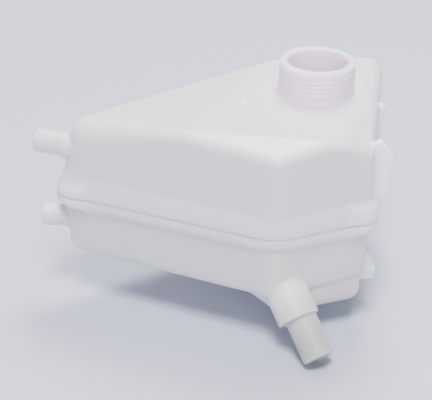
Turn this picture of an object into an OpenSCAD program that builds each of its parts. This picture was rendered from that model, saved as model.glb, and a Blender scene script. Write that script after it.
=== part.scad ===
/* [Main sizes] */
// Length of the plan, from the sharp tip to the bracket side
plan_length = 239.4; // [220:0.2:260]
// Width of the plan, from the blunt nose to the back wall
plan_width = 170.5; // [155:0.5:185]
// Height of the upper shell, from the weld plane to the flat deck
upper_h = 60; // [50:1:75]
// Depth of the lower shell, from the weld plane to its floor
lower_h = 46.8; // [38:0.2:56]
// Height of the filler neck above the flat deck
neck_h = 22; // [16:0.5:30]
// How far the sump reaches below the floor
sump_drop = 17; // [10:0.5:22]

/* [Plan] */
// Place of the tip from the axis of the neck, as shares of the length and the width
tip_at = [-0.7686, -0.2053];
// Place of the blunt nose between the two front walls
nose_at = [-0.117, -0.5777];
// Place of the corner between the front and the bracket side
side_front_at = [0.1454, -0.4106];
// Place of the corner between the bracket side and the back
side_back_at = [0.2314, 0.4223];
// Place of the corner between the back and the long slanted wall
back_left_at = [-0.117, 0.3842];
// Wall thickness of both shells
wall = 2.6; // [2:0.1:3.5]
// Draft angle of the moulded walls
draft = 4; // [1:0.5:6]

/* [Deck] */
// How far the deck falls at the tip
tip_fall = 7.3; // [4:0.1:16]
// How far the deck falls at the nose
nose_fall = 4; // [2:0.5:8]
// How far the deck falls at the bracket-side front corner
corner_fall = 9; // [5:0.5:14]
// How far the deck falls at the middle of the bracket side
side_fall = 3; // [1:0.5:6]
// Radius of the rounded edge round the deck
deck_edge_r = 7; // [5:0.5:9]
// How much softer the rounded edge is at the tip
tip_soft = 8; // [4:0.5:12]
// Place of the moulding gate nib on the deck
gate = [-48, -20.5];
// Diameter of the gate nib
gate_d = 4; // [3:0.5:8]
// Height of the gate nib
gate_h = 1.4; // [0.8:0.2:3]

/* [Weld flange] */
// How far the flange stands out at the tip and along the bracket side
flange_proud = 3.6; // [2:0.1:6]
// Share of that reach along the front and back walls
flange_share = 0.25; // [0.2:0.05:1]
// Where the wide flange at the tip ends, as shares of the front wall and the long slanted wall
flange_tip_end = [0.16, 0.13];
// Where the wide flange of the bracket side ends, as shares of the front and back walls
flange_side_end = [0.29, 0.4];
// Height of the upright face of the flange on the upper shell
skirt_h = 10; // [6:1:16]
// Height of that face at the tip
tip_skirt_h = 5.6; // [3:0.5:10]
// Height over which the upper wall flares out to it
flare_h = 5; // [2:0.5:10]
// Height of the groove at the weld plane
groove_h = 0.6; // [0.2:0.1:2]
// Depth of the groove
groove_d = 0.4; // [0.3:0.1:2]
// Height of the upright face of the bead on the lower shell
bead_h = 4.4; // [2:0.1:6]
// Height over which the bead tapers back to the lower wall
bead_fall = 4.5; // [2:0.5:8]
// How far the lower wall is set in from the upper wall
lower_set_in = 1; // [0.5:0.1:3]

/* [Filler neck] */
// Diameter of the neck at the root of its thread
neck_d = 48.6; // [40:0.2:52]
// Diameter of the bore of the neck
neck_bore_d = 40; // [34:0.5:44]
// Radius of the fillet round the foot of the neck
neck_fillet = 2.5; // [1.5:0.5:8]
// Height of the sealing lip above the thread
lip_h = 2.2; // [1:0.2:4]
// How far the lip stands out from the root of the thread
lip_out = 0.6; // [0.4:0.1:2]

/* [Hose stubs] */
// Outer diameter of the upper hose stub
upper_stub_d = 16; // [12:0.2:20]
// Outer diameter of the lower hose stub
lower_stub_d = 15.2; // [12:0.2:20]
// Wall thickness of the hose stubs
stub_wall = 2.2; // [1.6:0.1:3]
// Where the upper stub leaves the wall: from the tip in plan, and above the weld plane
upper_stub_at = [21.4, 4.4, 31.2];
// Heading of the upper stub in plan, counter-clockwise from the x axis
upper_stub_heading = 158.7; // [150:0.1:170]
// Length of the upper stub outside the wall
upper_stub_len = 22.8; // [18:0.2:36]
// Where the lower stub leaves the wall: from the tip in plan, and above the weld plane
lower_stub_at = [27, 5, -21];
// Heading of the lower stub in plan
lower_stub_heading = 180; // [170:0.5:190]
// Length of the lower stub outside the wall
lower_stub_len = 25.2; // [18:0.2:36]
// How much thicker a stub is at its root, where a collar joins it to the wall
stub_root_w = 0.8; // [0.4:0.1:1.5]
// Where the collar of the upper stub ends
upper_root_len = 2.5; // [1.5:0.5:6]
// Where the collar of the lower stub ends, on the slanted wall
lower_root_len = 10.5; // [8:0.5:12]
// Radius of the rounded rim at the open end of a stub
stub_rim_r = 1.2; // [0.6:0.1:2]

/* [Sump and outlet] */
// Front left corner of the sump, from the nose
sump_corner_at = [7, 21.5];
// Share of the bracket side over which the sump reaches to the back
sump_reach = 0.72; // [0.5:0.01:0.9]
// How far the left side of the sump slopes out to the floor
sump_slope = 17; // [6:1:22]
// Where the axis of the spigot leaves the sump: from the nose in plan, and above the floor
spigot_at = [13, 10.5, -1.2];
// Heading of the spigot in plan, counter-clockwise from the x axis
spigot_heading = -57; // [-80:1:-40]
// Angle of the spigot below the level
spigot_dip = 41; // [30:1:60]
// Diameter of the thick boss at the foot of the spigot
boss_d = 27.6; // [24:0.2:32]
// Length of the boss
boss_len = 13.4; // [10:0.2:22]
// How far the boss sits to the left of the axis of the spigot
boss_off = 1.5; // [0:0.1:3]
// Outer diameter of the spigot
spigot_d = 20.6; // [16:0.2:22]
// Diameter of the bore of the spigot
spigot_bore_d = 14.6; // [11:0.2:16]
// Length of the spigot from its root
spigot_len = 41.5; // [34:0.5:56]

/* [Side bracket] */
// How far the front lug stands out from the weld line of that side
lug_out = 9.8; // [6:0.1:16]
// Distance of the front face of the lug from the front corner
lug_back = 9; // [6:0.5:20]
// Thickness of the lug and of the ear
lug_t = 5; // [3:0.5:8]
// Height of the foot of the lug above the weld plane
lug_foot_h = 14; // [10:0.5:20]
// Height of the shoulder of the lug above the weld plane
lug_shoulder_h = 42.4; // [36:0.2:48]
// Height of the top of the lug above the weld plane
lug_top_h = 53.5; // [50:0.5:57]
// Width of the slanted top of the lug
lug_slant_w = 8.2; // [5:0.2:12]
// How far the rear ear stands out from the weld line of that side
ear_out = 2.6; // [1:0.1:6]
// Distance of the front face of the ear from the front corner
ear_back = 70; // [50:0.5:90]
// Height of the top of the ear above the weld plane
ear_top_h = 50.2; // [44:0.2:54]
// Height of the upright end face at the top of the ear
ear_face = 6; // [3:0.5:10]
// How far the ear draws back below that face
ear_taper = 5; // [1:0.1:6]
// Height above the weld plane where the ear has drawn back
ear_waist_h = 36; // [28:0.5:42]

/* [Locating tab] */
// Distance of the front face of the locating tab from the front corner
tab_back = 6; // [4:0.5:20]
// Thickness of the locating tab
tab_t = 12; // [6:1:20]
// Number of steps on the tab
tab_steps = 3; // [2:1:4]
// How far the first step stands out from the lower wall
tab_out = 2.8; // [1:0.1:5]
// How much further each step stands out
tab_step_out = 2.3; // [1:0.1:3]
// Height of each step
tab_step_h = 5.2; // [3:0.1:8]
// Depth of the top of the tab below the weld plane
tab_top_d = 27; // [22:0.2:32]
// Depth of the foot of the tab below the weld plane
tab_foot_d = 47; // [44:0.5:52]

/* [Hidden] */
$fn = 64;
hull_fn = 32;
ring_h = 0.5;
overlap = 1;
deck_z = -neck_h;
weld_z = deck_z - upper_h;
floor_z = weld_z - lower_h;
sump_z = floor_z - sump_drop;
tip_seam_r = 14;
nose_seam_r = 34;
corner_seam_r = 11;
back_seam_r = 24;
flange_end_r = 8;
flange_sides = [48, 44, 44];
floor_r = 8;
floor_tip_soft = 2.8;
back_softs = [4, 3];
stub_sunk = 8;
bracket_sunk = 14;
lug_root_fall = 8;
milky = [0.93, 0.93, 0.94];
milky_low = [0.90, 0.91, 0.90];

function placed(at) = [at[0] * plan_length, at[1] * plan_width];
tip = placed(tip_at);
nose = placed(nose_at);
side_front = placed(side_front_at);
side_back = placed(side_back_at);
corners = [tip, nose, side_front, side_back, placed(back_left_at)];
count = len(corners);
seam_r = [tip_seam_r, nose_seam_r, corner_seam_r, corner_seam_r, back_seam_r];
deck_softs = [tip_soft, 0, 0, back_softs[0], back_softs[1]];
deck_r = [for (soft = deck_softs) deck_edge_r + soft];
deck_fall = [tip_fall, nose_fall, corner_fall, 0, 0];
// Share of the draft that each upright corner takes.
corner_draft = [1, 1, 1, 0.4, 1];

// A side of the plan runs from corner i to the next one.
function side_from(i) = corners[(i + count) % count];
function side_to(i) = corners[(i + 1 + count) % count];
function along(i) = (side_to(i) - side_from(i)) / norm(side_to(i) - side_from(i));
function inward(i) = [-along(i)[1], along(i)[0]];
function cross2(a, b) = a[0] * b[1] - a[1] * b[0];

// Where two neighbouring sides meet after both are moved inward by d.
function corner_at(i, d) =
    let (p = side_from(i - 1) + d * inward(i - 1), q = side_from(i) + d * inward(i))
    p + along(i - 1) * cross2(q - p, along(i)) / cross2(along(i - 1), along(i));

// A point at a fraction t of side i, moved inward by d.
function on_side(i, t, d) = corner_at(i, d) * (1 - t) + corner_at(i + 1, d) * t;
function lean(h) = h * tan(draft);

// The x of the weld line of the bracket side at a distance behind its front corner.
function bracket_x(back) = side_front[0] + back * along(2)[0] / along(2)[1];

// Extra points that hold the deck up between its corners: side, fraction, fall.
deck_rests = [[0, 0.57, 0], [1, 0.5, 0], [1, 0.74, 1.5], [2, 0.36, side_fall]];
// The inner end of the fold between the flat deck and its slanted right margin.
fold_start = [19, -33];

// Stations of the weld flange: side, fraction, radius, share of the full reach.
flange_round = [for (i = [0 : count - 1]) [i, 0, seam_r[i], flange_share]];
flange_tip = [
    [0, 0, tip_seam_r, 1],
    [0, flange_tip_end[0], flange_end_r, 0],
    [4, 1 - flange_tip_end[1], flange_end_r, 0]
];
flange_bracket = [
    [2, 0, corner_seam_r, 1],
    [3, 0, corner_seam_r, 1],
    [1, 1 - flange_side_end[0], flange_end_r, 0],
    [3, flange_side_end[1], flange_end_r, 0]
];
flange_runs = [flange_round, flange_tip, flange_bracket];

// Levels of the flange on each shell: height, inset of the line, reach.
skirt_z = weld_z + groove_h;
function skirt_levels(h) = [
    [skirt_z, 0, flange_proud],
    [skirt_z + h, lean(h), flange_proud],
    [skirt_z + h + flare_h, lean(h + flare_h), -lean(ring_h)]
];
skirt_heights = [skirt_h, tip_skirt_h, skirt_h];
bead_foot_z = weld_z - groove_h - bead_h;
lower_levels = [
    [weld_z - ring_h, groove_d, flange_proud],
    [weld_z - groove_h - ring_h, 0, flange_proud],
    [bead_foot_z, 0, flange_proud],
    [bead_foot_z - bead_fall, lower_set_in + lean(bead_h), -lean(ring_h)]
];

module ball(place, z, r) {
    translate([place[0], place[1], z])
        sphere(r = r, $fn = hull_fn);
}

// The upright corners at the weld plane, as a ring of cylinders.
module ring(z, h, grow) {
    for (i = [0 : count - 1]) {
        c = corner_at(i, seam_r[i]);
        translate([c[0], c[1], z])
            cylinder(r = seam_r[i] + grow, h = h);
    }
}

// One run of the weld flange, through its stations at each level. Its rounds have their own number
// of sides, so that the runs don't share their upright edges.
module flange(levels, stations, sides) {
    hull()
        for (level = levels, s = stations) {
            c = on_side(s[0], s[1], s[2] + level[1]);
            translate([c[0], c[1], level[0]])
                cylinder(r = s[2] + level[2] * s[3], h = ring_h, $fn = sides);
        }
}

// The body of the upper shell, grown outward, or inward for its cavity.
module upper_form(grow) {
    hull() {
        ring(weld_z, ring_h, grow);
        for (i = [0 : count - 1]) {
            r = deck_r[i];
            z = deck_z - deck_fall[i] - r;
            ball(corner_at(i, r + lean(z - weld_z) * corner_draft[i]), z, r + grow);
        }
        for (rest = deck_rests) {
            z = deck_z - rest[2] - deck_edge_r;
            ball(on_side(rest[0], rest[1], deck_edge_r + lean(z - weld_z)), z, deck_edge_r + grow);
        }
        ball(fold_start, deck_z - deck_edge_r, deck_edge_r + grow);
    }
}

// The body of the lower shell down to its floor.
module lower_form(grow) {
    hull() {
        ring(weld_z - ring_h, ring_h, grow - lower_set_in);
        for (i = [0 : count - 1]) {
            r = i == 0 ? floor_r + floor_tip_soft : floor_r;
            z = floor_z + r;
            ball(corner_at(i, r + lower_set_in + lean(weld_z - z)), z, r + grow);
        }
    }
}

// The sump under the wide end, where the outlet leaves.
module sump_form(grow) {
    r = floor_r + 1;
    z = sump_z + r;
    edge = r + lower_set_in + lean(weld_z - z);
    front_left = nose + sump_corner_at;
    right = corner_at(2, edge);
    rear = on_side(2, sump_reach, edge);
    feet = [[front_left, sump_slope], [right, 0], [rear, 0], [[front_left[0], rear[1]], sump_slope]];
    hull() {
        for (foot = feet) {
            ball(foot[0], z, r + grow);
            translate([foot[0][0] - foot[1], foot[0][1], floor_z + wall])
                cylinder(r = r + grow, h = floor_r, $fn = hull_fn);
        }
    }
}

// Puts a shape drawn along +Z on a stub axis, by heading and dip.
module aim(root, heading, dip) {
    translate(root)
        rotate([0, 0, heading])
            rotate([0, 90 + dip, 0])
                children();
}

// The outside of a hose stub, with the thick collar at its root and the rounded rim of its open end.
module hose_stub(d, length, sunk, root_len) {
    rotate_extrude()
        polygon(concat(
            [[0, -sunk], [d / 2 + stub_root_w, -sunk]],
            [[d / 2 + stub_root_w, root_len - stub_root_w], [d / 2, root_len]],
            [for (a = [0 : 15 : 90])
                [d / 2 - stub_rim_r * (1 - cos(a)), length - stub_rim_r * (1 - sin(a))]],
            [[0, length]]
        ));
}

module neck_outside() {
    translate([0, 0, deck_z - wall])
        cylinder(d = neck_d + 2 * neck_fillet, h = wall);
    translate([0, 0, deck_z])
        rotate_extrude()
            difference() {
                square([neck_d / 2 + neck_fillet, neck_h]);
                translate([neck_d / 2 + neck_fillet, neck_fillet])
                    circle(r = neck_fillet);
                translate([neck_d / 2, neck_fillet])
                    square([neck_fillet + overlap, neck_h - neck_fillet - lip_h]);
                translate([neck_d / 2 + lip_out, neck_h - lip_h - overlap])
                    square([neck_fillet, lip_h + 2 * overlap]);
            }
}

// A flat bracket piece that stands upright on the bracket side, from its outline in x and z.
module bracket_plate(back, outline) {
    translate([0, side_front[1] + back + lug_t, 0])
        rotate([90, 0, 0])
            linear_extrude(lug_t)
                polygon(outline);
}

module lug() {
    reach = bracket_x(lug_back) + lug_out;
    bracket_plate(lug_back, [
        [reach - lug_out - bracket_sunk, weld_z + lug_foot_h],
        [reach, weld_z + lug_foot_h],
        [reach, weld_z + lug_shoulder_h],
        [reach - lug_slant_w, weld_z + lug_top_h],
        [reach - lug_out - bracket_sunk, weld_z + lug_top_h - lug_root_fall]
    ]);
}

module ear() {
    reach = bracket_x(ear_back) + ear_out;
    bracket_plate(ear_back, [
        [reach - bracket_sunk, weld_z + lug_foot_h],
        [reach - ear_taper, weld_z + lug_foot_h],
        [reach - ear_taper, weld_z + ear_waist_h],
        [reach, weld_z + ear_top_h - ear_face],
        [reach, weld_z + ear_top_h],
        [reach - bracket_sunk, weld_z + ear_top_h]
    ]);
}

module locating_tab() {
    wall_x = bracket_x(tab_back) - lower_set_in - lean(tab_top_d);
    for (i = [0 : tab_steps - 1]) {
        depth = tab_top_d + i * tab_step_h;
        reach = wall_x + tab_out + i * tab_step_out;
        translate([reach - bracket_sunk, side_front[1] + tab_back, weld_z - tab_foot_d])
            cube([bracket_sunk, tab_t, tab_foot_d - depth]);
    }
}

// The through bore of a stub, from inside the wall out past its open end.
module stub_bore(d, length, sunk) {
    translate([0, 0, -sunk - wall])
        cylinder(d = d, h = sunk + wall + length + overlap);
}

module upper_stub_place() {
    aim([tip[0], tip[1], weld_z] + upper_stub_at, upper_stub_heading, 0)
        children();
}

module lower_stub_place() {
    aim([tip[0], tip[1], weld_z] + lower_stub_at, lower_stub_heading, 0)
        children();
}

module spigot_place() {
    aim([nose[0], nose[1], floor_z] + spigot_at, spigot_heading, spigot_dip)
        children();
}

module upper_shell() {
    color(milky)
        difference() {
            union() {
                upper_form(0);
                flange([[weld_z, groove_d, flange_proud], skirt_levels(0)[0]], flange_round, flange_sides[0]);
                for (i = [0 : len(flange_runs) - 1])
                    flange(skirt_levels(skirt_heights[i]), flange_runs[i], flange_sides[i]);
                neck_outside();
                translate([gate[0], gate[1], deck_z - overlap])
                    cylinder(d = gate_d, h = gate_h + overlap);
                lug();
                ear();
                upper_stub_place()
                    hose_stub(upper_stub_d, upper_stub_len, stub_sunk, upper_root_len);
            }
            upper_form(-wall);
            translate([0, 0, deck_z - 2 * wall])
                cylinder(d = neck_bore_d, h = neck_h + 3 * wall);
            upper_stub_place()
                stub_bore(upper_stub_d - 2 * stub_wall, upper_stub_len, stub_sunk);
        }
}

module lower_shell() {
    color(milky_low)
        difference() {
            union() {
                lower_form(0);
                for (i = [0 : len(flange_runs) - 1])
                    flange(lower_levels, flange_runs[i], flange_sides[i]);
                sump_form(0);
                locating_tab();
                lower_stub_place()
                    hose_stub(lower_stub_d, lower_stub_len, stub_sunk, lower_root_len);
                spigot_place() {
                    translate([0, -boss_off, -boss_d / 2])
                        cylinder(d = boss_d, h = boss_len + boss_d / 2);
                    hose_stub(spigot_d, spigot_len, 0, boss_len / 2);
                }
            }
            lower_form(-wall);
            sump_form(-wall);
            lower_stub_place()
                stub_bore(lower_stub_d - 2 * stub_wall, lower_stub_len, stub_sunk);
            spigot_place()
                stub_bore(spigot_bore_d, spigot_len, boss_d / 2);
        }
}

upper_shell();
lower_shell();
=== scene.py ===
"""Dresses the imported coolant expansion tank: moulded shells, neck thread, finishes and studio."""

import logging
import math
from collections.abc import Callable, Sequence
from dataclasses import dataclass
from enum import Enum

import bpy
from mathutils import Matrix, Vector

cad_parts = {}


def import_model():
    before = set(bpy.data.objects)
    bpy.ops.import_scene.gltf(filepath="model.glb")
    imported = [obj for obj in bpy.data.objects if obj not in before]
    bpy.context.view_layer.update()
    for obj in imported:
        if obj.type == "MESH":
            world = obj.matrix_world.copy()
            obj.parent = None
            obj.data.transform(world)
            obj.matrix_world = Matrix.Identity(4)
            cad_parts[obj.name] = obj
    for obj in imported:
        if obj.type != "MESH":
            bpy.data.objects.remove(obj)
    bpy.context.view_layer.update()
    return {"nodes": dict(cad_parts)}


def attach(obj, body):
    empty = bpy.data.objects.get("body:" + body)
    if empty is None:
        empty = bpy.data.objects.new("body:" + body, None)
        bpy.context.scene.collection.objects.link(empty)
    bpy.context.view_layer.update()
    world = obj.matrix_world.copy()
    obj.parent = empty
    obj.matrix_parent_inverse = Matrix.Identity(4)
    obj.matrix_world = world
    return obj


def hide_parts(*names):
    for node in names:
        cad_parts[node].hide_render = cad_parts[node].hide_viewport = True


LOG = logging.getLogger("expansion_tank")
MM = 0.001
FLOOR_GAP_MM = 0.5
BODY = "root"

# The Mix node has several sockets of one name, so its colour sockets go by number.
MIX_FIRST, MIX_SECOND, MIX_RESULT = 6, 7, 2

Point = tuple[float, float, float]


class Shell(Enum):
    """The two mouldings that are welded together, by the name of their node."""

    UPPER = "upper_shell"
    LOWER = "lower_shell"


def linear(hex_colour: str) -> tuple[float, float, float, float]:
    """Turns an sRGB hex colour into linear light.

    Args:
        hex_colour: Six hex digits, such as "f2f0ec".

    Returns:
        Red, green, blue and an alpha of 1, in linear light.
    """
    channels = []
    for start in (0, 2, 4):
        value = int(hex_colour[start : start + 2], 16) / 255
        channels.append(value / 12.92 if value <= 0.04045 else ((value + 0.055) / 1.055) ** 2.4)
    return (channels[0], channels[1], channels[2], 1.0)


def clamp(value: float) -> float:
    """Keeps a value between 0 and 1."""
    return max(0.0, min(1.0, value))


def add_node(
    tree: bpy.types.NodeTree,
    kind: str,
    settings: dict[str, object] | None = None,
    inputs: dict[str, object] | None = None,
    links: dict[str, bpy.types.NodeSocket] | None = None,
) -> bpy.types.Node:
    """Adds a node with its settings, its socket values and its links.

    Args:
        tree: The node tree that takes the node.
        kind: The node's type, such as "ShaderNodeTexNoise".
        settings: Attributes of the node.
        inputs: Values of input sockets, by socket name.
        links: Output sockets to link, by the name of the input they feed.

    Returns:
        The new node.
    """
    node = tree.nodes.new(kind)
    for name, value in (settings or {}).items():
        setattr(node, name, value)
    for name, value in (inputs or {}).items():
        node.inputs[name].default_value = value
    for name, source in (links or {}).items():
        tree.links.new(source, node.inputs[name])
    return node


def new_material(name: str) -> tuple[bpy.types.Material, bpy.types.NodeTree, bpy.types.Node]:
    """Makes a material that has only a Principled shader.

    Args:
        name: The material's name.

    Returns:
        The material, its node tree and the shader.
    """
    material = bpy.data.materials.new(name)
    material.use_nodes = True
    tree = material.node_tree
    tree.nodes.clear()
    shader = add_node(tree, "ShaderNodeBsdfPrincipled")
    add_node(tree, "ShaderNodeOutputMaterial", links={"Surface": shader.outputs["BSDF"]})
    return material, tree, shader


@dataclass(frozen=True)
class MilkyPolypropylene:
    """Natural polypropylene, injection moulded: a milky satin skin that light enters a little.

    The flow of the melt leaves soft clouds a few centimetres across, and the spark-eroded
    mould leaves a fine even texture. The outlet gets painted shade: its colour turns grey
    along its axis, standing in for the darker tone of a part that faces down and gets less light.
    """

    name: str
    base_hex: str
    cloud_hex: str
    cloud_mm: float = 38.0
    texture_mm: float = 1.1
    texture_depth_mm: float = 0.05
    texture_strength: float = 0.08
    roughness: float = 0.36
    roughness_spread: float = 0.06
    scatter_mm: float = 11.0
    scatter_tint: Point = (1.0, 0.97, 1.0)
    ior: float = 1.49
    # Painted shade on the outlet: its grey, and the stretch of the outlet's axis where the colour
    # turns to it.
    outlet_shade_hex: str = ""
    outlet_axis: Point = (0.411, -0.633, -0.656)
    outlet_from_mm: float = 126.0
    outlet_to_mm: float = 162.0

    def build(self) -> bpy.types.Material:
        """Makes the material.

        Returns:
            The finished material.
        """
        material, tree, shader = new_material(self.name)
        place = add_node(tree, "ShaderNodeTexCoord").outputs["Object"]
        cloud = add_node(
            tree,
            "ShaderNodeTexNoise",
            inputs={"Scale": 1 / (self.cloud_mm * MM), "Detail": 2.0, "Roughness": 0.45},
            links={"Vector": place},
        )
        tint = add_node(
            tree,
            "ShaderNodeMix",
            settings={"data_type": "RGBA"},
            links={"Factor": cloud.outputs["Fac"]},
        )
        tint.inputs[MIX_FIRST].default_value = linear(self.base_hex)
        tint.inputs[MIX_SECOND].default_value = linear(self.cloud_hex)
        colour = tint.outputs[MIX_RESULT]
        # Painted shade: the downward-facing outlet turns grey along its axis.
        if self.outlet_shade_hex:
            colour = self.paint_outlet_shade(tree, place, colour)
        tree.links.new(colour, shader.inputs["Base Color"])
        grain = add_node(
            tree,
            "ShaderNodeTexNoise",
            inputs={"Scale": 1 / (self.texture_mm * MM), "Detail": 3.0, "Roughness": 0.6},
            links={"Vector": place},
        )
        gloss = add_node(
            tree,
            "ShaderNodeMapRange",
            inputs={
                "To Min": self.roughness - self.roughness_spread,
                "To Max": self.roughness + self.roughness_spread,
            },
            links={"Value": grain.outputs["Fac"]},
        )
        tree.links.new(gloss.outputs["Result"], shader.inputs["Roughness"])
        bump = add_node(
            tree,
            "ShaderNodeBump",
            inputs={"Strength": self.texture_strength, "Distance": self.texture_depth_mm * MM},
            links={"Height": grain.outputs["Fac"]},
        )
        tree.links.new(bump.outputs["Normal"], shader.inputs["Normal"])
        shader.inputs["IOR"].default_value = self.ior
        shader.inputs["Subsurface Weight"].default_value = 1.0
        shader.inputs["Subsurface Radius"].default_value = self.scatter_tint
        shader.inputs["Subsurface Scale"].default_value = self.scatter_mm * MM
        return material

    def paint_outlet_shade(
        self, tree: bpy.types.NodeTree, place: bpy.types.NodeSocket, colour: bpy.types.NodeSocket
    ) -> bpy.types.NodeSocket:
        """Paints shade on the outlet: turns the colour grey along its axis.

        Args:
            tree: The material's node tree.
            place: The object's own coordinates.
            colour: The colour of the rest of the moulding.

        Returns:
            The colour with the painted shade on the outlet.
        """
        along = add_node(
            tree,
            "ShaderNodeVectorMath",
            settings={"operation": "DOT_PRODUCT"},
            links={"Vector": place},
        )
        along.inputs[1].default_value = self.outlet_axis
        share = add_node(
            tree,
            "ShaderNodeMapRange",
            inputs={"From Min": self.outlet_from_mm * MM, "From Max": self.outlet_to_mm * MM},
            links={"Value": along.outputs["Value"]},
        )
        mixed = add_node(
            tree,
            "ShaderNodeMix",
            settings={"data_type": "RGBA"},
            links={"Factor": share.outputs["Result"]},
        )
        tree.links.new(colour, mixed.inputs[MIX_FIRST])
        mixed.inputs[MIX_SECOND].default_value = linear(self.outlet_shade_hex)
        return mixed.outputs[MIX_RESULT]


def select_only(piece: bpy.types.Object) -> None:
    """Deselects everything and makes one object active."""
    bpy.ops.object.select_all(action="DESELECT")
    piece.select_set(True)
    bpy.context.view_layer.objects.active = piece


def apply_modifier(piece: bpy.types.Object, kind: str, settings: dict[str, object]) -> None:
    """Adds a modifier, sets it and applies it.

    Args:
        piece: The object that takes the modifier.
        kind: The modifier's type.
        settings: Attributes of the modifier.
    """
    modifier = piece.modifiers.new(kind.title(), kind)
    for name, value in settings.items():
        setattr(modifier, name, value)
    select_only(piece)
    bpy.ops.object.modifier_apply(modifier=modifier.name)


def edit(piece: bpy.types.Object, work: Callable[[], None]) -> None:
    """Runs one step of work in edit mode.

    Args:
        piece: The object to edit.
        work: What to do while edit mode is on.
    """
    select_only(piece)
    bpy.ops.object.mode_set(mode="EDIT")
    work()
    bpy.ops.object.mode_set(mode="OBJECT")


def settle(piece: bpy.types.Object) -> None:
    """Puts the object at the origin, with its place in its mesh."""
    select_only(piece)
    bpy.ops.object.transform_apply(location=True, rotation=True, scale=True)


def dress(piece: bpy.types.Object, material: bpy.types.Material) -> None:
    """Gives a piece its only material and its slot, and lets it ride on the body.

    Args:
        piece: The piece.
        material: Its material.
    """
    piece.data.materials.clear()
    piece.data.materials.append(material)
    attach(piece, BODY)


@dataclass
class NeckThread:
    """The raised screw thread, lifted out of the outer wall of the filler neck.

    The neck's axis is the Z axis. The flank says how steeply a crest rises: over 0.5 it
    leaves flat crests and flat roots.
    """

    root_mm: float = 24.1
    crest_mm: float = 25.2
    pitch_mm: float = 3.0
    top_mm: float = -3.0
    foot_mm: float = -17.5
    run_out_mm: float = 1.5
    flank: float = 1.2
    wall_band_mm: float = 1.2
    cuts: int = 1
    group: str = "neck_thread"

    def on_wall(self, place: Vector) -> bool:
        """Tells whether a point lies on the stretch of the neck that carries the thread."""
        reach = math.hypot(place.x, place.y) / MM
        near = abs(reach - self.root_mm) < self.wall_band_mm
        return near and self.foot_mm < place.z / MM < self.top_mm

    def rise(self, place: Vector) -> float:
        """Gives the height of the thread over its root.

        Args:
            place: A point on the neck's outer wall.

        Returns:
            The height in millimetres: full on the crest, none between two turns.
        """
        height = place.z / MM
        turn = math.atan2(place.y, place.x) / math.tau
        wave = 0.5 + self.flank * math.cos(math.tau * (height / self.pitch_mm - turn))
        ends = min(self.top_mm - height, height - self.foot_mm) / self.run_out_mm
        return (self.crest_mm - self.root_mm) * clamp(wave) * clamp(ends)

    def raise_on(self, moulding: bpy.types.Object) -> None:
        """Subdivides the wall of the neck, lifts the thread out of it and names its vertices.

        Args:
            moulding: The upper shell.
        """
        edit(moulding, lambda: bpy.ops.mesh.select_all(action="DESELECT"))
        for polygon in moulding.data.polygons:
            polygon.select = self.on_wall(polygon.center)
        edit(moulding, lambda: bpy.ops.mesh.subdivide(number_cuts=self.cuts))
        kept = moulding.vertex_groups.new(name=self.group)
        for vertex in moulding.data.vertices:
            if self.on_wall(vertex.co):
                kept.add([vertex.index], 1.0, "REPLACE")
                reach = (self.root_mm + self.rise(vertex.co)) * MM
                scale = reach / math.hypot(vertex.co.x, vertex.co.y)
                vertex.co.x *= scale
                vertex.co.y *= scale


@dataclass
class MouldedShell:
    """One half of the tank, with the soft edges that its mould leaves."""

    shell: Shell
    finish: MilkyPolypropylene
    thread: NeckThread | None = None
    merge_mm: float = 0.002
    voxel_mm: float = 0.8
    smooth_factor: float = 0.5
    smooth_passes: int = 4
    most_triangles: int = 180000

    def build(self, node: bpy.types.Object) -> bpy.types.Object:
        """Softens a copy of the CAD node and dresses it.

        Args:
            node: The CAD node that the piece stands for.

        Returns:
            The finished piece.
        """
        piece = node.copy()
        piece.data = node.data.copy()
        for key in list(piece.keys()):
            del piece[key]
        piece.parent = None
        piece.name = self.shell.value + "_moulding"
        bpy.context.scene.collection.objects.link(piece)

        def merge() -> None:
            """Joins the loose triangles."""
            bpy.ops.mesh.select_all(action="SELECT")
            bpy.ops.mesh.remove_doubles(threshold=self.merge_mm * MM)

        edit(piece, merge)
        apply_modifier(piece, "REMESH", {"mode": "VOXEL", "voxel_size": self.voxel_mm * MM})
        softening = {"factor": self.smooth_factor, "iterations": self.smooth_passes}
        apply_modifier(piece, "SMOOTH", softening)
        if self.thread:
            self.thread.raise_on(piece)
        triangles = sum(len(polygon.vertices) - 2 for polygon in piece.data.polygons)
        if triangles > self.most_triangles:
            thinning: dict[str, object] = {"ratio": self.most_triangles / triangles}
            if self.thread:
                thinning |= {"vertex_group": self.thread.group, "invert_vertex_group": True}
            apply_modifier(piece, "DECIMATE", thinning)
        select_only(piece)
        bpy.ops.object.shade_smooth()
        dress(piece, self.finish.build())
        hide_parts(self.shell.value)
        return piece


@dataclass(frozen=True)
class Lamp:
    """One soft square lamp: where it stands, the length of its side and its power."""

    name: str
    place: Point
    side_m: float
    watts: float


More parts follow.
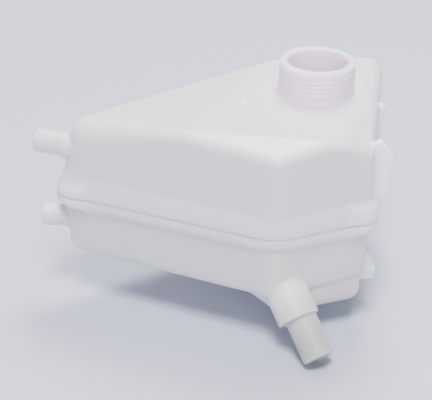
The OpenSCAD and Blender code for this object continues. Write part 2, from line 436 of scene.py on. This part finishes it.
@dataclass(frozen=True)
class Studio:
    """The floor, the lamps and the camera at the photograph's angle."""

    target: Point = (-0.0652, -0.0263, -0.0921)
    distance: float = 0.760
    elevation: float = math.radians(29.1)
    roll: float = math.radians(1.0)
    lens_mm: float = 93.75
    sensor_mm: float = 36.0
    clip_m: tuple[float, float] = (0.01, 20)
    lamps: tuple[Lamp, ...] = (
        Lamp("key_lamp", (-0.1, -0.9, 1.8), 0.6, 78),
        Lamp("front_lamp", (0.4, -1.9, 0.5), 1.2, 12),
        Lamp("top_lamp", (0.1, 0.75, 1.5), 0.7, 50),
    )
    room_light: float = 0.57
    floor_hex: str = "b4bacb"
    floor_roughness: float = 0.9
    floor_side_m: float = 12

    def camera(self) -> bpy.types.Object:
        """Places the camera.

        Returns:
            The camera object.
        """
        forward = Vector((0, math.cos(self.elevation), -math.sin(self.elevation)))
        level_right = Vector((1, 0, 0))
        level_up = level_right.cross(forward)
        right = level_right * math.cos(self.roll) + level_up * math.sin(self.roll)
        up = level_up * math.cos(self.roll) - level_right * math.sin(self.roll)
        lens = bpy.data.cameras.new("photo_camera")
        lens.lens = self.lens_mm
        lens.sensor_width = self.sensor_mm
        lens.clip_start, lens.clip_end = self.clip_m
        camera = bpy.data.objects.new("photo_camera", lens)
        place = Matrix((right, up, -forward)).transposed().to_4x4()
        place.translation = Vector(self.target) - forward * self.distance
        camera.matrix_world = place
        bpy.context.scene.collection.objects.link(camera)
        bpy.context.scene.camera = camera
        return camera

    def hang(self, lamp: Lamp) -> None:
        """Adds one lamp, turned to the part.

        Args:
            lamp: The lamp.
        """
        light = bpy.data.lights.new(lamp.name, "AREA")
        light.size = lamp.side_m
        light.energy = lamp.watts
        hung = bpy.data.objects.new(lamp.name, light)
        hung.location = lamp.place
        aim = Vector(self.target) - Vector(lamp.place)
        hung.rotation_euler = aim.to_track_quat("-Z", "Y").to_euler()
        bpy.context.scene.collection.objects.link(hung)

    def light(self) -> None:
        """Adds the lamps and the even light of the room."""
        for lamp in self.lamps:
            self.hang(lamp)
        world = bpy.data.worlds.new("room")
        bpy.context.scene.world = world
        world.use_nodes = True
        tree = world.node_tree
        tree.nodes.clear()
        even = add_node(
            tree,
            "ShaderNodeBackground",
            inputs={"Color": linear("ffffff"), "Strength": self.room_light},
        )
        add_node(tree, "ShaderNodeOutputWorld", links={"Surface": even.outputs["Background"]})

    def floor(self, height: float) -> bpy.types.Object:
        """Lays the pale floor under the tank.

        Args:
            height: The floor's height in metres.

        Returns:
            The floor object.
        """
        bpy.ops.object.select_all(action="DESELECT")
        bpy.ops.mesh.primitive_plane_add(size=self.floor_side_m, location=(0, 0, height))
        floor = bpy.context.active_object
        floor.name = "floor"
        settle(floor)
        # Backdrop paper, matt: an even pale ground with no reflections.
        material, _, shader = new_material("matt_backdrop_paper")
        shader.inputs["Base Color"].default_value = linear(self.floor_hex)
        shader.inputs["Roughness"].default_value = self.floor_roughness
        floor.data.materials.append(material)
        return floor


def main() -> None:
    """Builds the pieces in order, then the studio, and reports each piece."""
    logging.basicConfig(level=logging.INFO, format="%(message)s")
    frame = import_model()
    upper_finish = MilkyPolypropylene("milky_polypropylene_upper", "f8e8ff", "f2e0fc")
    # The grey given for the lower shell's outlet is painted shade.
    lower_finish = MilkyPolypropylene(
        "milky_polypropylene_lower", "efe5ea", "e9dfe2", outlet_shade_hex="aeaeac"
    )
    upper = MouldedShell(Shell.UPPER, upper_finish, NeckThread())
    lower = MouldedShell(Shell.LOWER, lower_finish)
    pieces = [half.build(frame["nodes"][half.shell.value]) for half in (upper, lower)]
    for piece in pieces:
        LOG.info("%s: %d faces", piece.name, len(piece.data.polygons))
    lowest = min(vertex.co.z for vertex in pieces[1].data.vertices)
    studio = Studio()
    studio.floor(lowest - FLOOR_GAP_MM * MM)
    studio.light()
    studio.camera()


if __name__ == "__main__":
    main()
